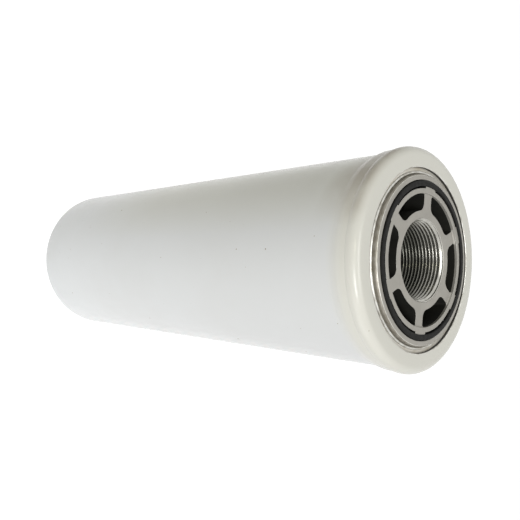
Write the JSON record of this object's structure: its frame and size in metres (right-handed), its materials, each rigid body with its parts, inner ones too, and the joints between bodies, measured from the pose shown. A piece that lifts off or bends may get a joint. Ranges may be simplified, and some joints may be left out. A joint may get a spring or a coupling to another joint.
{
  "type": "spin-on hydraulic filter",
  "caption": "White spin-on hydraulic filter: a tall drawn can with a rolled rim, closed by a cast threaded cover with inlet windows and a head gasket, and a pleated element inside.",
  "frame": {"origin": "centre of the can's flat closed end, where the filter stands", "axes": "+Z along the can's axis to the threaded mouth; +X along one of the cover's spokes"},
  "size_m": [0.1218, 0.1218, 0.3374],
  "materials": {
    "can_paint": "gloss",
    "cast_aluminium": "satin",
    "ring_steel": "bright",
    "seal_rubber": "matte",
    "pressed_steel": "zinc plated",
    "filter_media": "matte",
    "potting": "matte",
    "band": "satin",
    "spring_steel": "oiled"
  },
  "bodies": {
    "filter": {"can_shell": "can_paint", "threaded_cover": "cast_aluminium", "retaining_ring": "ring_steel", "head_gasket": "seal_rubber", "cover_seal": "seal_rubber", "hub_grommet": "seal_rubber", "element_top_cap": "pressed_steel", "element_bottom_cap": "pressed_steel", "top_potting": "potting", "bottom_potting": "potting", "core_tube": "pressed_steel", "pleated_media": "filter_media", "seam_clip": "pressed_steel", "pleat_band_lower": "band", "pleat_band_middle": "band", "pleat_band_upper": "band", "element_spring": "spring_steel", "spring_seat": "pressed_steel", "bypass_cage": "pressed_steel", "bypass_spring": "spring_steel"},
    "bypass_valve": {"bypass_poppet": "pressed_steel", "bypass_washer": "pressed_steel", "bypass_seal": "seal_rubber"}
  },
  "joints": [
    {"name": "bypass_lift", "type": "slide", "parent": "filter", "child": "bypass_valve", "axis": [0, 0, 1], "range_m": [0, 0.004], "stiffness_N_per_m": 6800, "springref_m": -0.0115, "deforming": ["bypass_spring"]}
  ]
}
